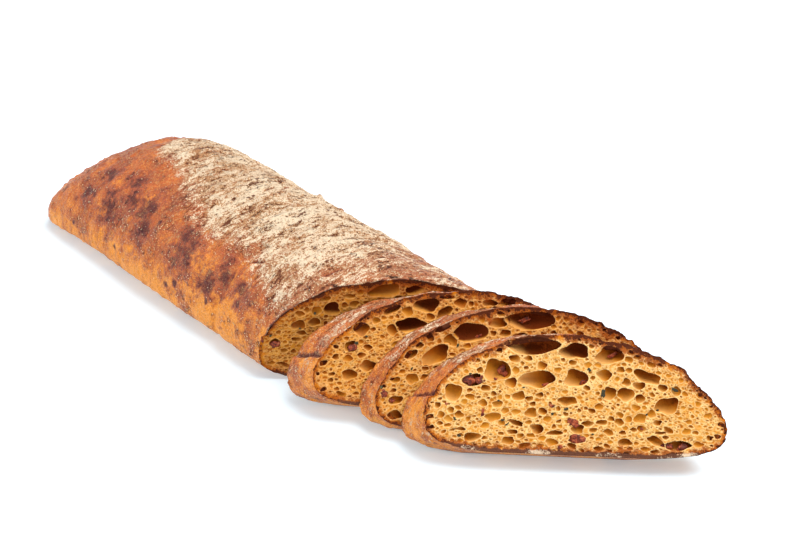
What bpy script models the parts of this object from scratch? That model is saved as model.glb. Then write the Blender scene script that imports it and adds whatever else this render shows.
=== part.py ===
"""Tomato ciabatta: a long, flat, hand-stretched loaf cut on the bias, and three slices that lean back
against the cut end.

The loaf lies along X with its cut end at +X, on the plane Z = 0. The origin is the middle of the whole
row's footprint. The model is first laid out with the loaf's cut at X = 0, then moved by half its reach.
"""

import math

import bmesh
import bpy
from mathutils import Matrix, Vector, noise

MM = 0.001

# Driving sizes of the loaf, in metres
LOAF_HEIGHT = 56.5 * MM
HALF_WIDTH = 55.7 * MM
LOAF_LENGTH = 284.0 * MM
WIDEST_AT = 0.25  # share of the height where the side bulges most
FLAT_SOLE = 0.9 * MM  # how much of the rounded underside is pressed flat by the oven floor
CUT_BIAS = math.radians(35.8)  # the knife's turn away from a straight cut
KNIFE_GAP = 0.35 * MM

# How full each quarter of the cross-section is: 2 is an ellipse, more is boxier
FULL_TOP_LEFT = 1.97
FULL_TOP_RIGHT = 1.83
FULL_BOTTOM = 3.0

# The tapered far end
END_ROUND = 34.0 * MM  # length over which the plan rounds off
END_RAMP = 94.0 * MM  # length over which the top comes down
END_PLAN_FULL = 2.7
END_RAMP_FULL = 1.9
END_SKEW = -0.03  # how much further than the right corner the left corner of the end was stretched
END_TIP = 0.6 * MM  # how far from the very tip the first ring stands
END_RELIEF = 0.2  # how much of the skin's relief is left at the tip
LEFT_SPREAD = 6.5 * MM  # how much wider the left side is at the far end than at the cut
RIGHT_SPREAD = 2.0 * MM  # how much wider the right side is near the cut than at the far end

# Unevenness of the baked skin
SWELL_SIZE = 42.0 * MM
SWELL_HEIGHT = 1.5 * MM
LUMP_SIZE = 15.0 * MM
LUMP_HEIGHT = 0.7 * MM
RELIEF_FROM = 0.02  # share of the height below which the skin is smooth
RELIEF_FULL = 0.2  # share of the height from which the relief is whole
FOLD_DEPTH = 1.9 * MM  # the crease on the left side where the dough was folded
FOLD_WIDTH = 5.0 * MM
FOLD_FROM_CUT = 60.0 * MM
FOLD_SLANT = 16.0 * MM  # how far the crease drifts along the loaf on its way up the side
FOLD_TOP = -0.45  # how far across the crease reaches, in shares of the half-width

# The floured band over the top and the right side, where the crust broke into flakes and ridges
BAND_LEFT = -42.0 * MM
BAND_FAR = -212.0 * MM
BAND_EDGE = 9.0 * MM
FLAKE_SIZE = 19.0 * MM
FLAKE_HEIGHT = 2.2 * MM
FLAKE_MEAN = 0.25  # the level of the crests that counts as the skin's own surface

# Where in the noise field each kind of relief is read
SWELL_PLACE = Vector((3.1, 0.7, 5.2))
LUMP_PLACE = Vector((8.4, 2.9, 1.3))
FLAKE_PLACE = Vector((1.7, 6.1, 4.4))

# Each slice: its thickness, how far it leans back, its turn to the left and its tilt in its own plane
# (degrees), how far it lies to the right of the loaf's middle, and how much further than the loaf's
# cross-section it reaches to the left, to the right and up
SLICES = {
    "slice_1": (19.2 * MM, 29.0, 1.0, 0.3, 31.4 * MM, 1.8 * MM, 0.0 * MM, -0.5 * MM),
    "slice_2": (11.6 * MM, 29.3, 1.4, 1.2, 59.4 * MM, -0.5 * MM, -0.6 * MM, 2.2 * MM),
    "slice_3": (16.4 * MM, 35.4, 4.2, -0.5, 81.0 * MM, -4.5 * MM, 1.8 * MM, -0.5 * MM),
}

# The largest gas bubbles that each cut goes through, in millimetres on the cut:
# across from the middle, up from the sole, width, height, and tilt in degrees
BUBBLES = {
    "loaf": (
        (-32.7, 39.3, 8.5, 7.0, 0),
        (-6.7, 49.0, 15.6, 5.6, 12),
        (7.5, 50.0, 8.5, 4.2, 0),
        (-49.2, 30.5, 7.1, 5.3, 11),
        (-24.1, 46.0, 6.2, 2.6, 0),
        (-57.0, 8.3, 6.4, 3.0, -23),
        (12.0, 36.0, 9.0, 6.0, 8),
        (30.0, 40.0, 10.0, 5.5, -20),
        (-12.0, 30.0, 6.5, 4.5, 0),
        (44.0, 22.0, 8.0, 5.0, -10),
    ),
    "slice_1": (
        (-17.9, 47.6, 12.0, 6.2, 0),
        (-25.5, 38.6, 15.3, 6.6, 0),
        (-48.8, 37.0, 8.0, 6.0, 30),
        (-9.2, 43.4, 9.3, 3.6, 30),
        (-45.8, 19.9, 8.0, 5.3, 0),
        (-55.0, 15.6, 7.3, 5.3, 0),
        (20.4, 49.5, 8.6, 4.0, 0),
        (-34.8, 46.0, 8.6, 2.6, 25),
        (8.0, 33.0, 9.0, 6.0, 0),
        (34.0, 32.0, 11.0, 6.0, -15),
    ),
    "slice_2": (
        (-24.2, 45.6, 15.7, 8.0, 0),
        (3.8, 50.0, 22.0, 6.8, 0),
        (-41.4, 35.0, 14.0, 6.4, 29),
        (-56.4, 31.0, 6.6, 3.9, 29),
        (-52.0, 22.6, 5.9, 4.8, 0),
        (22.0, 40.0, 12.0, 7.0, -12),
        (-8.0, 30.0, 8.0, 5.0, 0),
        (40.0, 26.0, 9.0, 6.0, 0),
    ),
    "slice_3": (
        (-32.5, 37.3, 11.2, 9.6, 2),
        (-16.7, 48.7, 21.0, 6.4, 2),
        (2.5, 47.2, 12.6, 6.4, 2),
        (18.5, 46.0, 11.8, 7.2, 2),
        (-14.1, 34.4, 14.6, 7.6, 2),
        (3.6, 35.1, 9.6, 8.0, 2),
        (-52.1, 26.4, 8.6, 6.4, 32),
        (19.0, 28.6, 5.4, 6.0, 2),
        (27.2, 28.4, 7.4, 6.0, 2),
        (45.8, 24.3, 10.4, 6.4, 22),
        (0.0, 24.2, 8.8, 3.8, 2),
        (-22.2, 25.2, 5.9, 4.2, 27),
        (17.6, 37.0, 6.8, 4.4, 2),
        (-5.2, 9.7, 7.4, 2.3, 2),
    ),
}
BIG_BUBBLE = 9.0  # bubbles at least this wide get more sides
BIG_SIDES = (14, 8)
SMALL_SIDES = (9, 6)
BUBBLE_DEPTH = 0.42  # depth of a bubble's half as a share of its width
DEEPEST = 0.36  # deepest bubble as a share of the slice's thickness
DEEPEST_IN_LOAF = 6.5 * MM
UNDERCUT = 0.12  # how far inside the cut a bubble's widest place lies, as a share of its depth

# Sun-dried tomato pieces that the knife laid bare: across, up, width, height, tilt
TOMATOES = {
    "loaf": ((-60.6, 19.9, 6.0, 4.2, 10), (-8.0, 17.0, 5.0, 3.2, 40)),
    "slice_1": ((-53.0, 28.6, 6.4, 4.6, 30), (2.0, 18.0, 6.0, 3.6, -15)),
    "slice_2": ((-61.6, 17.6, 4.6, 2.8, 0), (18.0, 14.0, 6.0, 4.0, 20)),
    "slice_3": (
        (-43.7, 32.2, 8.4, 4.6, 12),
        (8.4, 32.6, 4.6, 3.6, 10),
        (5.4, 16.6, 5.2, 3.6, 20),
        (5.2, 7.2, 8.0, 3.4, 0),
        (49.6, 6.8, 9.6, 4.0, 4),
    ),
}
TOMATO_PROUD = 0.7 * MM  # how far a piece stands out of the cut
TOMATO_THICK = 4.0 * MM
TOMATO_GRAIN = 3.0 * MM  # size of the wrinkles on a piece
TOMATO_WRINKLE = (0.4 * MM, 0.3 * MM)  # their height along and across the piece

AROUND = 46  # sides of the cross-section
STATION_STEP = 6.4 * MM
END_STATIONS = 8
SLICE_STATIONS = 3

CRUST_COLOURS = {
    "loaf": (0.33, 0.10, 0.025, 1.0),
    "slice_1": (0.31, 0.10, 0.028, 1.0),
    "slice_2": (0.29, 0.095, 0.028, 1.0),
    "slice_3": (0.27, 0.09, 0.026, 1.0),
}
CRUMB_COLOUR = (0.80, 0.46, 0.13, 1.0)
TOMATO_COLOUR = (0.24, 0.03, 0.015, 1.0)
CRUST_ROUGHNESS = 0.62
CRUMB_ROUGHNESS = 0.75
TOMATO_ROUGHNESS = 0.35


def clear_scene():
    for old in list(bpy.data.objects):
        bpy.data.objects.remove(old)


def finish_of(name, colour, roughness):
    """A plain Principled finish."""
    material = bpy.data.materials.get(name) or bpy.data.materials.new(name)
    material.use_nodes = True
    shader = material.node_tree.nodes["Principled BSDF"]
    shader.inputs["Base Color"].default_value = colour
    shader.inputs["Roughness"].default_value = roughness
    shader.inputs["Metallic"].default_value = 0.0
    return material


def signed_power(value, power):
    return math.copysign(abs(value) ** power, value)


def section_point(angle):
    """A point of the cross-section at full size: across from the middle and up from the sole, in shares
    of the half-width and of the height."""
    across, up = math.cos(angle), math.sin(angle)
    if up < 0:
        return (
            signed_power(across, 2 / FULL_BOTTOM),
            WIDEST_AT * (1 - abs(up) ** (2 / FULL_BOTTOM)),
        )
    full = FULL_TOP_RIGHT if across >= 0 else FULL_TOP_LEFT
    return (
        signed_power(across, 2 / full),
        WIDEST_AT + (1 - WIDEST_AT) * up ** (2 / full),
    )


def rounding(distance, reach, fullness):
    """0 at the very end of the loaf and 1 from `reach` on, with a superellipse between."""
    if distance >= reach:
        return 1.0
    return (1 - ((reach - distance) / reach) ** fullness) ** (1 / fullness)


def smooth_step(value):
    value = min(max(value, 0.0), 1.0)
    return value * value * (3 - 2 * value)


def skin_relief(x, across, up):
    """How far the baked skin stands out at a place, in metres: broad swells, smaller lumps and, in the
    floured band, sharp-crested flakes."""
    place = Vector((x, across, up))
    swell = SWELL_HEIGHT * noise.noise(place / SWELL_SIZE + SWELL_PLACE)
    lump = LUMP_HEIGHT * noise.noise(place / LUMP_SIZE + LUMP_PLACE)
    crest = 0.5 - abs(noise.noise(place / FLAKE_SIZE + FLAKE_PLACE)) - FLAKE_MEAN
    band = smooth_step((across - BAND_LEFT) / BAND_EDGE) * smooth_step((x - BAND_FAR) / BAND_EDGE)
    return swell + lump + FLAKE_HEIGHT * band * crest


def fold_at(x, share_across):
    """The crease where the dough was folded over, a groove down the left side near the cut."""
    if share_across > FOLD_TOP:
        return 0.0
    middle = -FOLD_FROM_CUT - FOLD_SLANT * (1 + share_across)
    return -FOLD_DEPTH * math.exp(-(((x - middle) / FOLD_WIDTH) ** 2))


def reach_at(distance, side, extra):
    """Half-width of one side (-1 left, 1 right) at a distance from the far tip. extra is how much further
    than the loaf's section this piece reaches to the left, to the right and up."""
    share = min(max(distance / LOAF_LENGTH, 0.0), 1.0)
    if side < 0:
        return HALF_WIDTH + LEFT_SPREAD * (1 - share) + extra[0]
    return HALF_WIDTH + RIGHT_SPREAD * (smooth_step(share) - 1) + extra[1]


def loaf_point(station, angle, lean_in, extra):
    """A point of the loaf's skin. station is the place along the loaf (0 at the cut, less towards the far
    end); lean_in is 1 where the section follows the knife's bias and 0 where it stands square."""
    share_across, share_up = section_point(angle)
    distance = station + LOAF_LENGTH
    plan = rounding(distance, END_ROUND, END_PLAN_FULL)
    ramp = rounding(distance, END_RAMP, END_RAMP_FULL)
    across = share_across * reach_at(distance, share_across, extra) * plan
    up = share_up * (LOAF_HEIGHT + extra[2]) * ramp
    if share_up > RELIEF_FROM:
        relief = skin_relief(station, across, up) + fold_at(station, share_across)
        relief *= min(1.0, plan + END_RELIEF) * min(1.0, share_up / RELIEF_FULL)
        across += relief * share_across
        up += relief * share_up
    skew = across * plan * END_SKEW * (1 - lean_in)
    x = station + across * math.tan(CUT_BIAS) * lean_in + skew
    return Vector((x, across, up))


def tube(bm, rings):
    """Skins a row of closed rings, and closes both ends."""
    loops = [[bm.verts.new(point) for point in ring] for ring in rings]
    for ring, following in zip(loops, loops[1:]):
        for i in range(len(ring)):
            j = (i + 1) % len(ring)
            bm.faces.new((ring[i], ring[j], following[j], following[i]))
    ends = (bm.faces.new(loops[0][::-1]), bm.faces.new(loops[-1]))
    bmesh.ops.recalc_face_normals(bm, faces=bm.faces)
    return ends


def press_sole_flat(bm):
    """The underside is pressed flat: what hangs below the sole is cut away and closed with one face."""
    cut = bmesh.ops.bisect_plane(
        bm,
        geom=bm.verts[:] + bm.edges[:] + bm.faces[:],
        dist=1e-6,
        plane_co=(0, 0, FLAT_SOLE),
        plane_no=(0, 0, 1),
        clear_inner=True,
    )
    rim = [e for e in cut["geom_cut"] if isinstance(e, bmesh.types.BMEdge)]
    bmesh.ops.holes_fill(bm, edges=rim, sides=0)
    bmesh.ops.translate(bm, verts=bm.verts, vec=(0, 0, -FLAT_SOLE))


def bread_object(name, rings, crumb_ends):
    """One solid of bread from its rings; crumb_ends says which of its two ends are cut faces."""
    bm = bmesh.new()
    ends = tube(bm, rings)
    for face, is_cut in zip(ends, crumb_ends):
        face.material_index = 1 if is_cut else 0
    press_sole_flat(bm)
    bmesh.ops.recalc_face_normals(bm, faces=bm.faces)
    mesh = bpy.data.meshes.new(name)
    bm.to_mesh(mesh)
    bm.free()
    mesh.materials.append(finish_of(name + "_crust", CRUST_COLOURS[name], CRUST_ROUGHNESS))
    mesh.materials.append(finish_of("crumb", CRUMB_COLOUR, CRUMB_ROUGHNESS))
    bread = bpy.data.objects.new(name, mesh)
    bpy.context.scene.collection.objects.link(bread)
    return bread


def ring_at(station, lean_in, extra=(0.0, 0.0, 0.0)):
    turn = 2 * math.pi / AROUND
    return [loaf_point(station, i * turn, lean_in, extra) for i in range(AROUND)]


def loaf_rings():
    """Rings from the far tip to the knife's cut. They stand square at the tip and take up the bias."""
    stations = [
        END_TIP + END_ROUND * (1 - math.cos(0.5 * math.pi * i / END_STATIONS))
        for i in range(END_STATIONS)
    ]
    left = LOAF_LENGTH - END_ROUND - END_TIP
    count = round(left / STATION_STEP)
    stations += [END_ROUND + END_TIP + left * i / count for i in range(count + 1)]
    return [ring_at(d - LOAF_LENGTH, (d / LOAF_LENGTH) ** 2) for d in stations]


def knife_axes():
    """The cut's own directions: along its width, out of the cut towards the slices, and up."""
    width = Vector((math.sin(CUT_BIAS), math.cos(CUT_BIAS), 0))
    outward = Vector((math.cos(CUT_BIAS), -math.sin(CUT_BIAS), 0))
    return width, outward, Vector((0, 0, 1))


def to_cut_frame():
    """Turns the loaf's frame into the cut's: X along the width, -Y out of the cut, Z up."""
    width, outward, up = knife_axes()
    return Matrix((width, -outward, up)).to_4x4()


def bubble_cutter(name, spot, depth, face_at, facing, finish):
    """Half of a gas bubble as a cutter in the slice's own frame. face_at is the cut's place along Y and
    facing is -1 for a front face and 1 for a back face."""
    across, up, wide, high, tilt = spot
    sides, rows = BIG_SIDES if wide >= BIG_BUBBLE else SMALL_SIDES
    bm = bmesh.new()
    bmesh.ops.create_uvsphere(bm, u_segments=sides, v_segments=rows, radius=0.5)
    place = (
        Matrix.Translation((across * MM, face_at - facing * UNDERCUT * depth, up * MM))
        @ Matrix.Rotation(-math.radians(tilt), 4, "Y")
        @ Matrix.Diagonal((wide * MM, 2 * depth, high * MM, 1))
        @ Matrix.Rotation(math.radians(-90 * facing), 4, "X")
    )
    bmesh.ops.transform(bm, matrix=place, verts=bm.verts)
    bmesh.ops.recalc_face_normals(bm, faces=bm.faces)
    mesh = bpy.data.meshes.new(name)
    bm.to_mesh(mesh)
    bm.free()
    mesh.materials.append(finish)
    return bpy.data.objects.new(name, mesh)


def boolean(bread, pieces, operation):
    """Cuts or joins all the pieces at once, applies it, and removes them."""
    helpers = bpy.data.collections.new(bread.name + "_" + operation.lower())
    bpy.context.scene.collection.children.link(helpers)
    for piece in pieces:
        piece.hide_render = True
        piece.display_type = "WIRE"
        helpers.objects.link(piece)
    modifier = bread.modifiers.new(operation.title(), "BOOLEAN")
    modifier.operand_type = "COLLECTION"
    modifier.collection = helpers
    modifier.operation = operation
    modifier.solver = "EXACT"
    modifier.material_mode = "TRANSFER"
    bpy.context.view_layer.update()
    graph = bpy.context.evaluated_depsgraph_get()
    joined = bpy.data.meshes.new_from_object(bread.evaluated_get(graph))
    joined.name = bread.name + "_" + operation.lower()
    bread.modifiers.clear()
    bread.data = joined
    for piece in pieces:
        bpy.data.objects.remove(piece)
    bpy.data.collections.remove(helpers)


def open_crumb(bread, faces):
    """Opens the bubbles in each cut face. faces holds (the cut's name, its place along Y, -1 or 1 for the
    way it faces, the most depth a bubble may have)."""
    crumb = finish_of("crumb", CRUMB_COLOUR, CRUMB_ROUGHNESS)
    cutters = []
    for source, face_at, facing, most in faces:
        for i, spot in enumerate(BUBBLES[source]):
            depth = min(BUBBLE_DEPTH * spot[2] * MM, most)
            label = f"{bread.name}_bubble_{facing}_{i}"
            cutters.append(bubble_cutter(label, spot, depth, face_at, facing, crumb))
    boolean(bread, cutters, "DIFFERENCE")


def bed_tomatoes(bread, face_at):
    """Fuses the bared tomato pieces to the front cut: flat, torn lumps that stand a little proud."""
    red = finish_of("tomato", TOMATO_COLOUR, TOMATO_ROUGHNESS)
    lumps = []
    for i, spot in enumerate(TOMATOES[bread.name]):
        lump = bubble_cutter(
            f"{bread.name}_tomato_{i}", spot, TOMATO_THICK / 2, 0, -1, red
        )
        for vertex in lump.data.vertices:
            rough = noise.noise(vertex.co / TOMATO_GRAIN + Vector((i, 0, 0)))
            vertex.co.y += TOMATO_WRINKLE[0] * rough
            vertex.co.z += TOMATO_WRINKLE[1] * rough
        sunk = face_at + TOMATO_THICK / 2 - TOMATO_PROUD
        lump.data.transform(Matrix.Translation((0, sunk, 0)))
        lumps.append(lump)
    boolean(bread, lumps, "UNION")


def slice_in_its_frame(name, cut_from, thickness, extra):
    """A slice as it was cut, moved so that its front face is at Y = 0 and its sole's middle at X = 0.
    cut_from is where its back face was along the loaf, past the loaf's cut."""
    reach = thickness / math.cos(CUT_BIAS)
    stations = [cut_from + reach * i / SLICE_STATIONS for i in range(SLICE_STATIONS + 1)]
    bread = bread_object(name, [ring_at(s, 1.0, extra) for s in stations], (True, True))
    bread.data.transform(to_cut_frame() @ Matrix.Translation((-cut_from - reach, 0, 0)))
    return bread


def resting_place(bread, lean, turn, tilt, to_right, behind):
    """Where a slice comes to rest: it leans back, stands on the table, and slides back along the row
    until it touches the face behind it. behind is that face's point and outward normal."""
    width, outward, up = knife_axes()
    cut_frame = Matrix((width, -outward, up)).transposed().to_4x4()
    pose = (
        Matrix.Rotation(math.radians(-turn), 4, "Z")
        @ cut_frame
        @ Matrix.Rotation(math.radians(-lean), 4, "X")
        @ Matrix.Rotation(math.radians(-tilt), 4, "Y")
    )
    spots = [pose @ vertex.co for vertex in bread.data.vertices]
    drop = Vector((0, 0, -min(spot.z for spot in spots)))
    slide = (pose.to_3x3() @ Vector((0, -1, 0))) * Vector((1, 1, 0))
    slide.normalize()
    aside = Vector((-slide.y, slide.x, 0))
    point, normal = behind
    shift = drop + aside * to_right
    nearest = min((spot + shift - point).dot(normal) for spot in spots)
    shift += slide * ((KNIFE_GAP - nearest) / slide.dot(normal))
    return Matrix.Translation(shift) @ pose


def centre_footprint(parts):
    """Moves the whole row so that the origin is the middle of its footprint."""
    bpy.context.view_layer.update()
    spots = [
        part.matrix_world @ vertex.co for part in parts for vertex in part.data.vertices
    ]
    low = [min(spot[i] for spot in spots) for i in range(3)]
    high = [max(spot[i] for spot in spots) for i in range(3)]
    middle = Vector(((low[0] + high[0]) / 2, (low[1] + high[1]) / 2, low[2]))
    for part in parts:
        part.matrix_world = Matrix.Translation(-middle) @ part.matrix_world


def build():
    clear_scene()
    loaf = bread_object("loaf", loaf_rings(), (False, True))
    loaf.data.transform(to_cut_frame())
    open_crumb(loaf, [("loaf", 0.0, -1, DEEPEST_IN_LOAF)])
    bed_tomatoes(loaf, 0.0)
    loaf.matrix_world = to_cut_frame().inverted()
    parts = [loaf]
    source = "loaf"
    _, outward, _ = knife_axes()
    behind = (Vector((0, 0, 0)), outward)
    cut_from = 0.0
    for name, (thickness, lean, turn, tilt, to_right, *extra) in SLICES.items():
        bread = slice_in_its_frame(name, cut_from, thickness, extra)
        cut_from += thickness / math.cos(CUT_BIAS)
        pose = resting_place(bread, lean, turn, tilt, to_right, behind)
        most = DEEPEST * thickness
        open_crumb(bread, [(name, 0.0, -1, most), (source, thickness, 1, most)])
        bed_tomatoes(bread, 0.0)
        bread.matrix_world = pose
        behind = (pose.translation.copy(), pose.to_3x3() @ Vector((0, -1, 0)))
        parts.append(bread)
        source = name
    centre_footprint(parts)


build()
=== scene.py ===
"""Tomato ciabatta: the uncut part of a loaf with three slices that lean back against its cut end."""

import math

import bmesh
import bpy
import numpy as np
from mathutils import Matrix, Vector, noise


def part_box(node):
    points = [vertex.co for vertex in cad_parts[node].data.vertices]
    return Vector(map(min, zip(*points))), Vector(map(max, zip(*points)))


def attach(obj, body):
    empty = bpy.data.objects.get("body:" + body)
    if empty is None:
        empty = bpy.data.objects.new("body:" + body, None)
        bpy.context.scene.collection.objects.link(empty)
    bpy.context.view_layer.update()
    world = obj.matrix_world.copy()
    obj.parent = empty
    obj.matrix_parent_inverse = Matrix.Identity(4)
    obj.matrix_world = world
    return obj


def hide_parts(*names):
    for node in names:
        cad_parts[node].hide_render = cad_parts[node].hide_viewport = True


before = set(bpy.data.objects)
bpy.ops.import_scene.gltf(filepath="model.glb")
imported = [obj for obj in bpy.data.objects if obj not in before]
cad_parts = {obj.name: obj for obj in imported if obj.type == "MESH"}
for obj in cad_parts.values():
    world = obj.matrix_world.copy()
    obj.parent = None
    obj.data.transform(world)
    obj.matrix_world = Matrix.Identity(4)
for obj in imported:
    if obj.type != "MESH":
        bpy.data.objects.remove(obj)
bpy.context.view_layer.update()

# Camera
# It stands off to the left of the slices and looks down on the row through a long lens, so that the
# loaf shrinks only a little towards its far end.
CAMERA_AT = Vector((0.7237, -0.4876, 0.4728))
CAMERA_TURN = math.radians(53.81)
CAMERA_DOWN = math.radians(26.66)
CAMERA_LENS = 85.52
SENSOR_WIDTH = 36


scene = bpy.context.scene


def add_object(name, data):
    made = bpy.data.objects.new(name, data)
    scene.collection.objects.link(made)
    return made


camera = add_object("camera", bpy.data.cameras.new("camera"))
camera.data.lens = CAMERA_LENS
camera.data.sensor_width = SENSOR_WIDTH
camera.data.clip_end = 20
camera.location = CAMERA_AT
camera.rotation_euler = (math.pi / 2 - CAMERA_DOWN, 0, CAMERA_TURN)
scene.camera = camera

# Crust of the uncut loaf
# A thin skin of baked dough over the whole loaf, flat underneath where it lay on the oven floor. It was
# dusted with flour before it was stretched, so the flour broke into flakes over the top and right side.
MM = 0.001
LOAF_HEIGHT = 56.5 * MM
HALF_WIDTH = 55.7 * MM
LOAF_LENGTH = 284 * MM
WIDEST_AT = 0.25
FLAT_SOLE = 0.9 * MM
CUT_BIAS = math.radians(35.8)
FULL_TOP_LEFT = 1.97
FULL_TOP_RIGHT = 1.83
FULL_BOTTOM = 3
END_ROUND = 34 * MM
END_RAMP = 94 * MM
END_PLAN_FULL = 2.7
END_RAMP_FULL = 1.9
END_SKEW = -0.03
END_TIP = 0.6 * MM
END_RELIEF = 0.2
END_STATIONS = 8
STATION_STEP = 6.4 * MM
SOLID_SIDES = 46
LEFT_SPREAD = 6.5 * MM
RIGHT_SPREAD = 2 * MM
SWELL = (42 * MM, 1.5 * MM, (3.1, 0.7, 5.2))
LUMP = (15 * MM, 0.7 * MM, (8.4, 2.9, 1.3))
FLAKE = (19 * MM, 2.2 * MM, (1.7, 6.1, 4.4))
FLAKE_MEAN = 0.25
RELIEF_FROM = 0.02
RELIEF_FULL = 0.2
FOLD_DEPTH = 1.9 * MM
FOLD_WIDTH = 5 * MM
FOLD_FROM_CUT = 60 * MM
FOLD_SLANT = 16 * MM
FOLD_TOP = -0.45
BAND_LEFT = -42 * MM
BAND_FAR = -212 * MM
BAND_EDGE = 9 * MM


def eased(value, low=0, high=1):
    """0 up to low, 1 from high on, and an S-curve between."""
    share = np.clip((value - low) / (high - low), 0, 1)
    return share * share * (3 - 2 * share)


def section(angle):
    """The loaf's cross-section at an angle round it: across and up, in shares of half-width and height."""
    across, up = np.cos(angle), np.sin(angle)
    full = np.where(up < 0, FULL_BOTTOM, np.where(across >= 0, FULL_TOP_RIGHT, FULL_TOP_LEFT))
    rise = np.abs(up) ** (2 / full)
    low = WIDEST_AT * (1 - rise)
    high = WIDEST_AT + (1 - WIDEST_AT) * rise
    return np.sign(across) * np.abs(across) ** (2 / full), np.where(up < 0, low, high)


def rounding(distance, reach, fullness):
    left = np.clip((reach - distance) / reach, 0, 1)
    return (1 - left**fullness) ** (1 / fullness)


def broad_noise(place, size, height, offset):
    """The broad unevenness of the solids, read from the same field."""
    spots = (place / size + np.array(offset)).reshape(-1, 3)
    return height * np.array([noise.noise(spot) for spot in spots]).reshape(place.shape[:-1])


def skin(station, angle, lean_in, extra=(0, 0, 0)):
    """Points of the bread's skin before its fine relief, in the frame with the loaf's cut at X = 0."""
    share_across, share_up = section(angle)
    distance = station + LOAF_LENGTH
    plan = rounding(distance, END_ROUND, END_PLAN_FULL)
    ramp = rounding(distance, END_RAMP, END_RAMP_FULL)
    along = np.clip(distance / LOAF_LENGTH, 0, 1)
    left = HALF_WIDTH + LEFT_SPREAD * (1 - along) + extra[0]
    right = HALF_WIDTH + RIGHT_SPREAD * (eased(along) - 1) + extra[1]
    across = share_across * np.where(share_across < 0, left, right) * plan
    up = share_up * (LOAF_HEIGHT + extra[2]) * ramp
    station, up, across = np.broadcast_arrays(station, up, across)
    place = np.stack((station, across, up), axis=-1)
    crest = 0.5 - np.abs(broad_noise(place, FLAKE[0], 1, FLAKE[2])) - FLAKE_MEAN
    band = eased(across, BAND_LEFT, BAND_LEFT + BAND_EDGE) * eased(station, BAND_FAR, BAND_FAR + BAND_EDGE)
    relief = broad_noise(place, *SWELL) + broad_noise(place, *LUMP) + FLAKE[1] * band * crest
    fold = -FOLD_FROM_CUT - FOLD_SLANT * (1 + share_across)
    crease = FOLD_DEPTH * np.exp(-(((station - fold) / FOLD_WIDTH) ** 2))
    relief = relief - np.where(share_across > FOLD_TOP, 0, crease)
    relief = relief * np.minimum(1, plan + END_RELIEF) * np.clip(share_up / RELIEF_FULL, 0, 1)
    relief = np.where(share_up > RELIEF_FROM, relief, 0)
    across = across + relief * share_across
    up = up + relief * share_up
    skew = across * plan * END_SKEW * (1 - lean_in)
    x = station + across * math.tan(CUT_BIAS) * lean_in + skew
    return np.stack((x, across, np.maximum(up - FLAT_SOLE, 0)), axis=-1)


def packed_place(node, solid):
    """Where the pack has put a node, from the corner of its box and that of the solid's own points."""
    return np.array(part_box(node)[0]) - solid.reshape(-1, 3).min(axis=0)


end_turns = 0.5 * np.pi * np.arange(END_STATIONS) / END_STATIONS
end_rings = END_TIP + END_ROUND * (1 - np.cos(end_turns))
even_count = round((LOAF_LENGTH - END_ROUND - END_TIP) / STATION_STEP) + 1
even_rings = np.linspace(END_ROUND + END_TIP, LOAF_LENGTH, even_count)
solid_angles = 2 * np.pi * np.arange(SOLID_SIDES) / SOLID_SIDES
distances = np.concatenate((end_rings, even_rings))[:, None]
solid_loaf = skin(distances - LOAF_LENGTH, solid_angles[None, :], (distances / LOAF_LENGTH) ** 2)
ROW_SHIFT = packed_place("loaf", solid_loaf) * (1, 1, 0)


def spread_angles(dome, sole, squeeze=1):
    """Angles at even steps along the section: `dome` over the top, then `sole` under it. squeeze
    widens the section first, as the bias of the cut does."""
    found = []
    for start, count in ((0, dome), (math.pi, sole)):
        fine = np.linspace(start, start + math.pi, 6001)
        across, up = section(fine)
        path = np.hypot(np.diff(across) * HALF_WIDTH * squeeze, np.diff(up) * LOAF_HEIGHT)
        reach = np.concatenate(([0], np.cumsum(path)))
        found.append(np.interp(np.arange(count) / count * reach[-1], reach, fine))
    return np.concatenate(found)


def fine_noise(place, size, seed):
    """Smooth noise between about -1 and 1 with lumps of `size` millimetres, which may differ by axis."""
    cell = place / (np.array(size) * MM)
    base = np.floor(cell).astype(np.int64)
    share = cell - base
    ease = share**3 * (share * (share * 6 - 15) + 10)
    total = np.zeros(place.shape[:-1])
    for corner in np.ndindex(2, 2, 2):
        key = (base + corner) @ (73856093, 19349663, 83492791) + seed * 2654435761
        key = (key ^ (key >> 15)) * 2246822519 & 0xFFFFFFFF
        key = (key ^ (key >> 13)) * 3266489917 & 0xFFFFFFFF
        key ^= key >> 16
        lean = np.stack([((key >> shift) & 1023) / 511.5 - 1 for shift in (0, 10, 20)], axis=-1)
        weight = np.prod(np.where(corner, ease, 1 - ease), axis=-1)
        total += weight * np.sum(lean * (share - corner), axis=-1)
    return 1.6 * total


def outward(grid):
    """Unit normals of a grid of points whose columns run round the bread."""
    along = np.gradient(grid, axis=0)
    round_it = np.roll(grid, -1, axis=1) - np.roll(grid, 1, axis=1)
    normal = np.cross(round_it, along)
    return normal / np.maximum(np.linalg.norm(normal, axis=-1, keepdims=True), 1e-12)


def wrapped(values):
    """A grid's values in one row, its first column once more at the end, where the piece closes."""
    return np.concatenate((values, values[:, :1]), axis=1).astype(np.float32).ravel()


def hand_over(name, mesh, material, node):
    """Puts a mesh in the scene as a piece that stands for a node."""
    mesh.shade_smooth()
    mesh.materials.append(material)
    piece = add_object(name, mesh)
    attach(piece, "root")
    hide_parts(node)


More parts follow.
